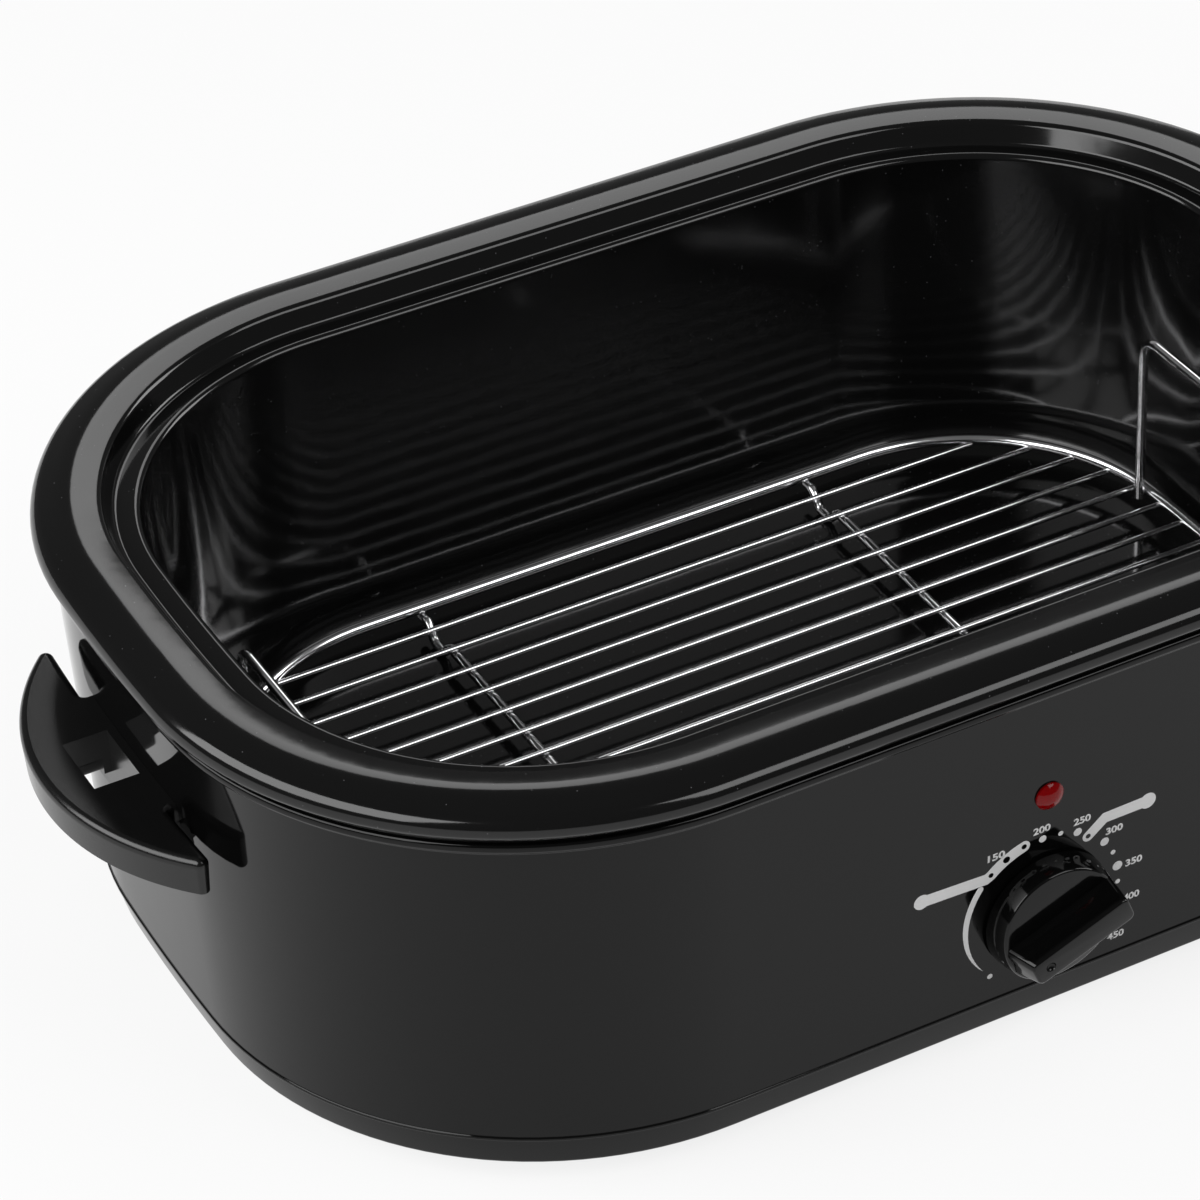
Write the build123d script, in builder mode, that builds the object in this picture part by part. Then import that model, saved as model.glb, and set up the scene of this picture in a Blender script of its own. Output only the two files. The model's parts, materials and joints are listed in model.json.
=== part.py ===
from build123d import *
from math import asin, atan, atan2, cos, degrees, radians, sin, sqrt, tan
import os

# Electric roaster oven
#
# An oval steel body on four rubber feet holds an insulated heating well. A removable enamelled
# cookwell hangs in it by its broad domed flange, with a wire rack on its floor. Crescent grips are
# screwed to both ends, and the dial and its lamp are on the front.
#
# Millimetres. +Z is up, X runs along the length and the dial faces -Y. The origin is on the table,
# under the centre of the oval. An inset is a distance inwards from the rim, square to it.

os.makedirs("parts", exist_ok=True)

# --- Driving dimensions ------------------------------------------------------------------------

# Oval of the rim: straight front and back, four corner arcs, two shallow end arcs
half_length = 270.0
half_width = 189.5
corner_radius = 154.0
end_radius = 1200.0

# Sheet thicknesses
shell_sheet = 1.0
base_sheet = 1.0
liner_sheet = 1.0
pan_sheet = 1.2
reflector_sheet = 0.8

# Heights above the table
foot_height = 5.0
seam_z = 23.4
neck_z = 157.0
shell_top_z = 162.8
seat_z = 167.5

# Outer shell: it widens upwards and ends in a proud bead with an inward lip
seam_inset = 10.4
neck_inset = 6.2
bead_inset = 3.6
bead_slope = 2.4
bead_round = 1.8
lip_width = 9.4

# Base pan, slipped into the shell's lower edge
base_inset = 17.6
base_corner = 6.0
base_lap = 8.0
lap_clearance = 0.1

# Cookwell: hem, domed flange, step, ledge for a lid, deep drawn well
hem_radius = 2.2
hem_gap = 4.2
hem_rise = 3.0
flange_width = 28.0
crown_rise = 9.5
crown_fall = 1.4
crown_round = 26.0
step_width = 2.6
ledge_width = 13.0
pan_depth = 137.0
pan_draft = 3.5
pan_corner = 18.0
ledge_gap = 0.3

# Heating well
well_gap = 3.0
well_floor_gap = 4.0
well_corner = 20.0
well_edge_inset = 6.2
well_step_inset = 15.0
well_step_slope = 1.4

# Heater band, its clips and lugs, and the insulation
band_low = 78.0
band_height = 56.0
band_thickness = 2.0
band_split = 8.0
clip_width = 14.0
clip_sheet = 1.0
clip_foot = 9.0
clip_jog = 2.0
clip_margin = 15.4
lug_length = 14.0
lug_width = 8.0
lug_sheet = 0.8
lug_gap = 0.6
lug_offset = 0.499
blanket_thickness = 9.0
blanket_low = 42.0
blanket_high = 152.0
blanket_clearance = 0.3
window_left = 31.0
window_right = 73.0

# Floor stack: a screw through each foot clamps the floor to a boss under the heating well
foot_radius = 11.0
foot_draft = 8.0
foot_web = 1.6
foot_x = 150.0
foot_y = 92.0
reflector_z = 18.0
reflector_inset = 60.0
reflector_rim = 5.0
screw_radius = 2.0
screw_head_radius = 3.8
screw_head_height = 2.4
hole_clearance = 0.3
thread_clearance = 0.05
sleeve_radius = 4.5
boss_radius = 5.5
blind_end = 1.0

# Dial, knob and shaft
dial_x = 13.0
dial_z = 59.0
knob_gap = 0.8
knob_radius = 26.0
knob_face_radius = 24.4
knob_height = 9.7
knob_wall = 2.2
knob_edge = 1.2
hub_radius = 5.6
bar_length = 42.0
bar_width = 9.0
bar_height = 15.6
bar_flare = 3.0
bar_flank = 0.8
bar_round = 3.4
pointer_angle = 112.0
pointer_reach = 14.0
dimple_radius = 2.2
dimple_depth = 1.4
shaft_radius = 3.0
shaft_clearance = 0.05
shaft_flat = 1.0
shaft_depth = 9.0
shaft_cover = 5.0
spring_sheet = 0.5

# Thermostat, its bracket and its sensor
body_width = 38.0
body_height = 30.0
body_depth = 12.0
body_corner = 3.0
bushing_wall = 1.8
bracket_width = 54.0
bracket_height = 46.0
bracket_depth = 15.0
bracket_sheet = 1.5
shield_sheet = 0.6
control_screw_radius = 1.5
control_screw_pitch = 28.0
control_screw_grip = 6.0
control_head_radius = 2.8
control_head_height = 1.8
sensor_radius = 3.0
sensor_clearance = 1.0
sensor_pad_radius = 9.0
sensor_pad_height = 3.0

# Pilot lamp
lens_z = 112.0
lens_radius = 5.7
lens_edge = 0.8
lens_rise = 3.4
lens_neck = 4.4
lens_neck_length = 7.0
capsule_radius = 3.8
capsule_length = 9.0
capsule_edge = 1.0
retainer_radius = 7.0
retainer_sheet = 0.8

# Cord entry in the back
gland_x = 60.0
gland_z = 48.0
gland_radius = 9.0
gland_neck = 6.0
gland_bore = 3.6
gland_flange = 2.5
gland_chamfer = 1.2
gland_step = 1.0

# Handles
grip_top_z = 124.5
grip_radius = 106.0
grip_reach = 35.8
grip_depth = 15.0
grip_draft = 3.0
grip_skin = 3.0
grip_edge = 3.2
grip_tip = 3.4
hub_width = 79.0
hub_depth = 3.4
hub_height = 28.0
hub_corner = 6.0
hub_web = 2.0
grip_hole_length = 17.5
grip_hole_width = 30.0
collar_wall = 2.6
collar_depth = 12.0
rib_depth = 19.0
rib_width = 23.0
handle_screw_y = 27.0
handle_screw_drop = 19.0
handle_boss_length = 15.0
handle_clearance = 0.05
washer_radius = 5.0
washer_sheet = 1.0
washer_gap = 0.05

# Rack
rack_clearance = 12.0
rack_floor_gap = 0.3
rack_height = 13.0
rim_wire = 2.5
rail_wire = 2.0
thin_wire = 1.2
thin_wire_pitch = 15.8
rail_x = 90.0
rail_bend = 4.0
rail_foot_in = 5.0
rail_foot_length = 8.0
lift_height = 76.0
lift_width = 84.0
lift_bend = 10.0
weld = 0.3

# --- Derived geometry --------------------------------------------------------------------------

corner_y = half_width - corner_radius
end_x = half_length - end_radius
corner_x = end_x + sqrt((end_radius - corner_radius) ** 2 - corner_y**2)
end_turn = degrees(atan2(corner_y, corner_x - end_x))


def oval(inset):
    """Draw the oval in the open BuildLine, starting in the middle of the front."""
    side = half_width - inset
    corner = corner_radius - inset
    end = end_radius - inset
    Line((0, -side), (corner_x, -side))
    CenterArc((corner_x, -corner_y), corner, -90, 90 - end_turn)
    CenterArc((end_x, 0), end, -end_turn, 2 * end_turn)
    CenterArc((corner_x, corner_y), corner, end_turn, 90 - end_turn)
    Line((corner_x, side), (-corner_x, side))
    CenterArc((-corner_x, corner_y), corner, 90, 90 - end_turn)
    CenterArc((-end_x, 0), end, 180 - end_turn, 2 * end_turn)
    CenterArc((-corner_x, -corner_y), corner, 180 + end_turn, 90 - end_turn)
    Line((-corner_x, -side), (0, -side))


def oval_reach(y, inset):
    """Half-length of the oval at a distance y from its long axis."""
    end = end_radius - inset
    if abs(y) < end * sin(radians(end_turn)):
        return end_x + sqrt(end**2 - y**2)
    return corner_x + sqrt((corner_radius - inset) ** 2 - (abs(y) - corner_y) ** 2)


def at(inset, height):
    """A point of a section through the front wall, on the plane x = 0."""
    return (inset - half_width, height)


def carry_round(section):
    """Take the open BuildPart's pending section from the middle of the front round the oval."""
    extrude(amount=corner_x)
    corner_axis = Axis((corner_x, -corner_y, 0), (0, 0, 1))
    corner_start = section.moved(Location((corner_x, 0, 0)))
    revolve(corner_start, axis=corner_axis, revolution_arc=90 - end_turn)
    end_start = corner_start.rotate(corner_axis, 90 - end_turn)
    revolve(end_start, axis=Axis((end_x, 0, 0), (0, 0, 1)), revolution_arc=end_turn)
    mirror(about=Plane.YZ)
    mirror(about=Plane.XZ)


# The shell leans outwards, and all on the dial's axis is built square to its wall
shell_slope = (seam_inset - neck_inset) / (neck_z - seam_z)
shell_lean = atan(shell_slope)


def shell_inset(height):
    """Inset of the shell's outer face."""
    return seam_inset - shell_slope * (height - seam_z)


ledge_z = seat_z + ledge_gap + pan_sheet
pan_floor_z = ledge_z - pan_depth
pan_wall_inset = flange_width + ledge_width
pan_slope = tan(radians(pan_draft))
pan_slant = 1 / cos(radians(pan_draft))
well_floor_z = pan_floor_z - pan_sheet - well_floor_gap
well_bottom_z = well_floor_z - liner_sheet


def pan_inset(height):
    """Inset of the cookwell's inner face."""
    return pan_wall_inset + (ledge_z - height) * pan_slope


def well_inset(height):
    """Inset of the heating well's inner face."""
    return pan_inset(height) - (pan_sheet + well_gap) * pan_slant


def well_outer(height):
    """Inset of the heating well's outer face."""
    return well_inset(height) - liner_sheet * pan_slant


def wall_plane(x, height, side):
    """Plane on the shell's outer face, facing out; side is -1 for the front, 1 for the back."""
    return Plane(
        origin=(x, side * (half_width - shell_inset(height)), height),
        x_dir=(-side, 0, 0),
        z_dir=(0, side * cos(shell_lean), -sin(shell_lean)),
    )


def axial(plane):
    """Plane through a wall plane's axis, with the axis as its own y, for turned profiles."""
    return Plane(origin=plane.origin, x_dir=plane.x_dir, z_dir=-plane.y_dir)


dial = wall_plane(dial_x, dial_z, -1)
lamp = wall_plane(dial_x, lens_z, -1)
entry = wall_plane(gland_x, gland_z, 1)
hole_radius = screw_radius + hole_clearance
thread_radius = screw_radius + thread_clearance
foot_spots = [(x, y) for x in (-foot_x, foot_x) for y in (-foot_y, foot_y)]
handle_screw_z = grip_top_z - handle_screw_drop
bushing_radius = shaft_radius + bushing_wall

# --- Outer shell and base pan ------------------------------------------------------------------

with BuildPart() as outer_shell:
    with BuildSketch(Plane.YZ) as section:
        with BuildLine():
            shell_line = FilletPolyline(
                at(seam_inset, seam_z),
                at(neck_inset, neck_z),
                at(bead_inset, neck_z + bead_slope),
                at(bead_inset, shell_top_z),
                at(bead_inset + lip_width, shell_top_z),
                radius=[bead_round / 2, bead_round, bead_round],
            )
            offset(shell_line, amount=shell_sheet, side=Side.RIGHT)
        make_face()
    carry_round(section.sketch)
    with BuildSketch(dial):
        Circle(bushing_radius + hole_clearance)
        with GridLocations(control_screw_pitch, 1, 2, 1):
            Circle(control_screw_radius + hole_clearance)
    extrude(amount=2 * shell_sheet, both=True, mode=Mode.SUBTRACT)
    with BuildSketch(lamp):
        Circle(lens_neck + hole_clearance)
    extrude(amount=2 * shell_sheet, both=True, mode=Mode.SUBTRACT)
    with BuildSketch(entry):
        Circle(gland_neck + hole_clearance)
    extrude(amount=2 * shell_sheet, both=True, mode=Mode.SUBTRACT)
    with BuildSketch(Plane.YZ.offset(-half_length)):
        with Locations((0, handle_screw_z)):
            with GridLocations(2 * handle_screw_y, 1, 2, 1):
                Circle(hole_radius)
    extrude(amount=2 * half_length, mode=Mode.SUBTRACT)

lap_inset = seam_inset + shell_sheet / cos(shell_lean) + lap_clearance
base_floor_inset = base_inset + 3 * base_corner
with BuildPart() as base_pan:
    with BuildSketch(Plane.YZ) as section:
        with BuildLine():
            tray_line = FilletPolyline(
                at(base_floor_inset, foot_height),
                at(base_inset, foot_height),
                at(lap_inset, seam_z),
                at(lap_inset - base_lap * shell_slope, seam_z + base_lap),
                radius=[base_corner, 2 * base_sheet],
            )
            offset(tray_line, amount=base_sheet, side=Side.RIGHT)
        make_face()
    carry_round(section.sketch)
    with BuildSketch(Plane.XY.offset(foot_height)):
        with BuildLine():
            oval(base_floor_inset)
        make_face()
    extrude(amount=base_sheet)
    with Locations(*[(x, y, foot_height) for x, y in foot_spots]):
        Hole(hole_radius)

# --- Cookwell ----------------------------------------------------------------------------------

hem_z = shell_top_z + hem_gap + hem_radius
crown_z = ledge_z + crown_rise
pan_floor_inset = pan_inset(pan_floor_z) + 1.3 * pan_corner
with BuildPart() as cookwell:
    with BuildSketch(Plane.YZ) as section:
        with BuildLine():
            pan_line = FilletPolyline(
                at(0, hem_z),
                at(0, hem_z + hem_rise),
                at(flange_width / 2, crown_z),
                at(flange_width - step_width / 2, crown_z - crown_fall),
                at(flange_width + step_width, ledge_z),
                at(pan_wall_inset, ledge_z),
                at(pan_inset(pan_floor_z), pan_floor_z),
                at(pan_floor_inset, pan_floor_z),
                radius=[3 * pan_sheet, crown_round, 3.0, 2.0, 2 * pan_sheet, pan_corner],
            )
            offset(pan_line, amount=pan_sheet, side=Side.RIGHT)
        make_face()
        with Locations(at(hem_radius, hem_z)):
            Circle(hem_radius)
    carry_round(section.sketch)
    with BuildSketch(Plane.XY.offset(pan_floor_z)):
        with BuildLine():
            oval(pan_floor_inset)
        make_face()
    extrude(amount=-pan_sheet)

# --- Heating well and the floor under it -------------------------------------------------------

well_floor_inset = well_inset(well_floor_z) + 1.3 * well_corner
with BuildPart() as heat_liner:
    with BuildSketch(Plane.YZ) as section:
        with BuildLine():
            well_line = FilletPolyline(
                at(well_edge_inset, shell_top_z + liner_sheet),
                at(well_step_inset, shell_top_z + liner_sheet),
                at(well_step_inset + well_step_slope, seat_z),
                at(well_inset(seat_z), seat_z),
                at(well_inset(well_floor_z), well_floor_z),
                at(well_floor_inset, well_floor_z),
                radius=[0.8 * liner_sheet, 1.2 * liner_sheet, 3 * liner_sheet, well_corner],
            )
            offset(well_line, amount=liner_sheet, side=Side.RIGHT)
        make_face()
    carry_round(section.sketch)
    with BuildSketch(Plane.XY.offset(well_floor_z)):
        with BuildLine():
            oval(well_floor_inset)
        make_face()
    extrude(amount=-liner_sheet)

boss_low_z = reflector_z + reflector_sheet
with BuildPart() as weld_bosses:
    with BuildSketch(Plane.XY.offset(boss_low_z)):
        with Locations(*foot_spots):
            RegularPolygon(boss_radius, 6)
            Circle(thread_radius, mode=Mode.SUBTRACT)
    extrude(amount=well_bottom_z - boss_low_z)

reflector_floor_inset = reflector_inset + 2 * reflector_rim
with BuildPart() as bottom_reflector:
    with BuildSketch(Plane.YZ) as section:
        with BuildLine():
            dish_line = FilletPolyline(
                at(reflector_inset - reflector_rim, boss_low_z + reflector_rim),
                at(reflector_inset, boss_low_z),
                at(reflector_floor_inset, boss_low_z),
                radius=2 * reflector_sheet,
            )
            offset(dish_line, amount=reflector_sheet, side=Side.RIGHT)
        make_face()
    carry_round(section.sketch)
    with BuildSketch(Plane.XY.offset(boss_low_z)):
        with BuildLine():
            oval(reflector_floor_inset)
        make_face()
    extrude(amount=-reflector_sheet)
    with Locations(*[(x, y, boss_low_z) for x, y in foot_spots]):
        Hole(hole_radius)

with BuildPart() as standoff_sleeves:
    with BuildSketch(Plane.XY.offset(foot_height + base_sheet)):
        with Locations(*foot_spots):
            Circle(sleeve_radius)
            Circle(hole_radius, mode=Mode.SUBTRACT)
    extrude(amount=reflector_z - foot_height - base_sheet)

# Each rubber foot sinks the head of its screw in a recess
with BuildPart() as feet:
    with BuildSketch(Plane.XY.offset(foot_height)):
        with Locations(*foot_spots):
            Circle(foot_radius)
    extrude(amount=-foot_height, taper=foot_draft)
    with BuildSketch():
        with Locations(*foot_spots):
            Circle(screw_head_radius + hole_clearance)
    extrude(amount=foot_height - foot_web, mode=Mode.SUBTRACT)
    with Locations(*[(x, y, foot_height) for x, y in foot_spots]):
        Hole(hole_radius)

screw_seat_z = foot_height - foot_web
with BuildPart() as foot_screws:
    with BuildSketch(Plane.XY.offset(screw_seat_z)):
        with Locations(*foot_spots):
            Circle(screw_head_radius)
    extrude(amount=-screw_head_height)
    with BuildSketch(Plane.XY.offset(screw_seat_z)):
        with Locations(*foot_spots):
            Circle(screw_radius)
    extrude(amount=well_bottom_z - blind_end - screw_seat_z)

# --- Heater and insulation ---------------------------------------------------------------------

band_high = band_low + band_height
clip_reach = corner_x - clip_margin
lug_x = (dial_x + clip_reach) / 2 - lug_offset
window_centre = dial_x + (window_right - window_left) / 2
window_width = window_left + window_right


def band_section(gap, thickness, low, high):
    """Draw the section of a layer that lies along the heating well's outer wall."""
    Polyline(
        at(well_outer(low) - gap, low),
        at(well_outer(high) - gap, high),
        at(well_outer(high) - gap - thickness, high),
        at(well_outer(low) - gap - thickness, low),
        close=True,
    )


with BuildPart() as heater_band:
    with BuildSketch(Plane.YZ) as section:
        with BuildLine():
            band_section(0, band_thickness, band_low, band_high)
        make_face()
    carry_round(section.sketch)
    with BuildSketch(Plane.XY.offset(band_low)):
        with Locations((lug_x, -half_width / 2)):
            Rectangle(band_split, half_width)
    extrude(amount=band_height, mode=Mode.SUBTRACT)

# Two lugs hang from the band's lower edge, one on each side of its split
with BuildPart() as heater_lugs:
    for lug_side in (-1, 1):
        lug_middle = lug_x + lug_side * (band_split / 2 + lug_width)
        with BuildSketch(Plane.YZ.offset(lug_middle - lug_width / 2)):
            with BuildLine():
                band_section(lug_gap, lug_sheet, band_low - lug_length, band_low)
            make_face()
        extrude(amount=lug_width)

# Clips welded to the well above and below the band hold it to the wall
clip_out = band_thickness + clip_sheet * pan_slant
clip_flat = clip_sheet * pan_slant
with BuildPart() as heater_clips:
    for clip_side, inner in ((-1, Side.RIGHT), (1, Side.LEFT)):
        clip_profile = [
            (clip_flat, band_low - clip_foot),
            (clip_flat, band_low - clip_jog - clip_sheet / 2),
            (clip_out, band_low - clip_sheet / 2),
            (clip_out, band_high + clip_sheet / 2),
            (clip_flat, band_high + clip_jog + clip_sheet / 2),
            (clip_flat, band_high + clip_foot),
        ]
        for clip_x in (-clip_reach, 0, clip_reach):
            with BuildSketch(Plane.YZ.offset(clip_x - clip_width / 2)):
                with BuildLine():
                    strip = Polyline(
                        [
                            (clip_side * (half_width - well_outer(z) + gap), z)
                            for gap, z in clip_profile
                        ]
                    )
                    offset(strip, amount=clip_sheet, side=inner)
                make_face()
            extrude(amount=clip_width)

with BuildPart() as insulation_blanket:
    with BuildSketch(Plane.YZ) as section:
        with BuildLine():
            band_section(
                clip_out + blanket_clearance, blanket_thickness, blanket_low, blanket_high
            )
        make_face()
    carry_round(section.sketch)
    with BuildSketch(Plane.XY.offset(blanket_low)):
        with Locations((window_centre, -half_width / 2)):
            Rectangle(window_width, half_width)
    extrude(amount=band_low + blanket_clearance - blanket_low, mode=Mode.SUBTRACT)

# --- Thermostat and its bracket ----------------------------------------------------------------

inside = dial.offset(-shell_sheet)
body_face = inside.offset(-bracket_sheet)
body_back = body_face.offset(-body_depth)

with BuildPart() as thermostat_bracket:
    with BuildSketch(inside):
        Rectangle(bracket_width, bracket_height)
        Circle(bushing_radius + hole_clearance, mode=Mode.SUBTRACT)
        with GridLocations(control_screw_pitch, 1, 2, 1):
            Circle(control_screw_radius + hole_clearance, mode=Mode.SUBTRACT)
    extrude(amount=-bracket_sheet)
    with BuildSketch(inside):
        with GridLocations(bracket_width - bracket_sheet, 1, 2, 1):
            Rectangle(bracket_sheet, bracket_height)
    extrude(amount=-bracket_depth)

with BuildPart() as heat_shield:
    with BuildSketch(inside.offset(-bracket_depth)):
        Rectangle(bracket_width, bracket_height)
        Circle(sensor_radius + sensor_clearance, mode=Mode.SUBTRACT)
    extrude(amount=-shield_sheet)

bore_depth = shell_sheet + bracket_sheet + shaft_depth
with BuildPart() as thermostat_body:
    with BuildSketch(body_face):
        RectangleRounded(body_width, body_height, body_corner)
        with GridLocations(control_screw_pitch, 1, 2, 1):
            Circle(control_screw_radius + thread_clearance, mode=Mode.SUBTRACT)
    extrude(amount=-control_screw_grip - blind_end)
    with BuildSketch(body_face.offset(-control_screw_grip - blind_end)):
        RectangleRounded(body_width, body_height, body_corner)
    extrude(amount=control_screw_grip + blind_end - body_depth)
    with BuildSketch(body_face):
        Circle(bushing_radius)
    extrude(amount=bracket_sheet + shell_sheet)
    with Locations(dial):
        Hole(shaft_radius + shaft_clearance, depth=bore_depth)

with BuildPart() as thermostat_screws:
    with BuildSketch(dial):
        with GridLocations(control_screw_pitch, 1, 2, 1):
            Circle(control_head_radius)
    extrude(amount=control_head_height)
    with BuildSketch(dial):
        with GridLocations(control_screw_pitch, 1, 2, 1):
            Circle(control_screw_radius)
    extrude(amount=-(shell_sheet + bracket_sheet + control_screw_grip))

# The sensor's pad lies flat on the heating well, and its stem runs back along the dial's axis
sensor_z = dial_z + (well_outer(dial_z) - shell_inset(dial_z)) * shell_slope
well_face = Plane(
    origin=(dial_x, well_outer(sensor_z) - half_width, sensor_z),
    x_dir=(1, 0, 0),
    z_dir=(0, -cos(radians(pan_draft)), -sin(radians(pan_draft))),
)
with BuildPart() as sensor_pad:
    with BuildSketch(well_face):
        Circle(sensor_pad_radius)
    extrude(amount=sensor_pad_height)

with BuildPart() as sensor_stem:
    with BuildSketch(body_back):
        Circle(sensor_radius)
    extrude(amount=-well_outer(sensor_z))
    split(bisect_by=well_face.offset(sensor_pad_height), keep=Keep.TOP)

# --- Knob and shaft ----------------------------------------------------------------------------

knob_back = dial.offset(knob_gap)
knob_front = knob_back.offset(knob_height)
bar_front = knob_front.offset(bar_height)
shaft_tip = knob_gap + knob_height + bar_height - shaft_cover
flat_y = shaft_radius - shaft_flat
bar_turn = pointer_angle - 90
knob_taper = degrees(atan((knob_radius - knob_face_radius) / knob_height))

with BuildPart() as thermostat_shaft:
    with BuildSketch(dial.offset(hole_clearance - bore_depth)):
        Circle(shaft_radius)
    extrude(amount=bore_depth - hole_clearance + shaft_tip)
    with BuildSketch(dial.offset(shaft_tip)):
        with Locations((0, flat_y + shaft_flat)):
            Rectangle(2 * shaft_radius, 2 * shaft_flat)
    extrude(amount=knob_gap / 2 - shaft_tip, mode=Mode.SUBTRACT)

with BuildPart() as knob:
    with BuildSketch(knob_back):
        Circle(knob_radius)
    extrude(amount=knob_height, taper=knob_taper)
    fillet(knob.faces().sort_by(Axis.Y)[0].edges(), knob_edge)
    with BuildSketch(knob_back):
        Circle(knob_radius - knob_wall)
    extrude(amount=knob_height - knob_wall, taper=knob_taper, mode=Mode.SUBTRACT)
    with BuildSketch(knob_back):
        Circle(hub_radius)
    extrude(amount=knob_height)
    with BuildSketch(knob_front):
        RectangleRounded(
            bar_length + 2 * bar_flare, bar_width + 2 * bar_flank, bar_round, rotation=bar_turn
        )
    with BuildSketch(bar_front):
        RectangleRounded(bar_length, bar_width, bar_round, rotation=bar_turn)
    loft()
    fillet(knob.faces().sort_by(Axis.Y)[0].edges(), knob_edge)
    with Locations(bar_front.offset(dimple_radius - dimple_depth)):
        with PolarLocations(pointer_reach, 1, 90 + pointer_angle):
            Sphere(dimple_radius, mode=Mode.SUBTRACT)
    with BuildSketch(knob_back):
        Circle(shaft_radius + shaft_clearance)
        with Locations((0, flat_y + spring_sheet + shaft_radius)):
            Rectangle(3 * shaft_radius, 2 * shaft_radius, mode=Mode.SUBTRACT)
    extrude(amount=shaft_tip - knob_gap + hole_clearance, mode=Mode.SUBTRACT)

# A leaf spring fills the gap between the shaft's flat and the knob's
with BuildPart() as knob_spring:
    with BuildSketch(knob_back):
        Circle(shaft_radius)
        with Locations((0, flat_y + spring_sheet / 2)):
            Rectangle(2 * shaft_radius, spring_sheet, mode=Mode.INTERSECT)
    extrude(amount=shaft_tip - knob_gap)

# --- Pilot lamp --------------------------------------------------------------------------------

dome_height = lens_rise - lens_edge
dome_radius = (lens_radius**2 + dome_height**2) / (2 * dome_height)
with BuildPart() as pilot_lens:
    with BuildSketch(axial(lamp)):
        with BuildLine():
            CenterArc(
                (0, lens_rise - dome_radius),
                dome_radius,
                90,
                -degrees(asin(lens_radius / dome_radius)),
            )
            Polyline(
                (lens_radius, lens_edge),
                (lens_radius, 0),
                (lens_neck, 0),
                (lens_neck, -lens_neck_length),
                (0, -lens_neck_length),
                (0, lens_rise),
            )
        make_face()
    revolve(axis=Axis(lamp.origin, lamp.z_dir))

with BuildPart() as pilot_retainer:
    with BuildSketch(lamp.offset(-shell_sheet)):
        Circle(retainer_radius)
        Circle(lens_neck + thread_clearance, mode=Mode.SUBTRACT)
    extrude(amount=-retainer_sheet)

with BuildPart() as pilot_housing:
    with BuildSketch(lamp.offset(-lens_neck_length)):
        Circle(capsule_radius)
    extrude(amount=-capsule_length)
    fillet(pilot_housing.faces().sort_by(Axis.Y)[-1].edges(), capsule_edge)

# --- Cord entry --------------------------------------------------------------------------------

with BuildPart() as cord_gland:
    with BuildSketch(axial(entry)):
        with BuildLine():
            Polyline(
                (gland_bore, gland_flange),
                (gland_radius - gland_chamfer, gland_flange),
                (gland_radius, gland_flange - gland_chamfer),
                (gland_radius, 0),
                (gland_neck, 0),
                (gland_neck, -shell_sheet),
                (gland_radius - gland_step, -shell_sheet),
                (gland_radius - gland_step, -shell_sheet - gland_flange),
                (gland_bore, -shell_sheet - gland_flange),
                close=True,
            )
        make_face()
    revolve(axis=Axis(entry.origin, entry.z_dir))

# --- Handles -----------------------------------------------------------------------------------

wall_x = half_length - shell_inset(grip_top_z)
chord_x = wall_x + hub_depth
arc_x = wall_x + grip_reach - grip_radius
root_x = wall_x - 2 * hub_depth
root_middle = (root_x + chord_x) / 2
grip_low_z = grip_top_z - grip_depth
trim_low_z = grip_top_z - hub_height - hub_depth
trim_high_z = grip_top_z + hub_depth


def crescent(skin):
    """Draw the grip's outline, less a skin: a bow, and a back parallel to the shell's end."""
    bow_radius = grip_radius - skin
    back_radius = chord_x + skin - end_x
    middles = arc_x - end_x
    tip_x = (middles + (back_radius**2 - bow_radius**2) / middles) / 2
    tip_y = sqrt(back_radius**2 - tip_x**2)
    bow_turn = degrees(atan2(tip_y, tip_x - middles))
    back_turn = degrees(atan2(tip_y, tip_x))
    CenterArc((arc_x, 0), bow_radius, -bow_turn, 2 * bow_turn)
    CenterArc((end_x, 0), back_radius, back_turn, -2 * back_turn)


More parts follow.
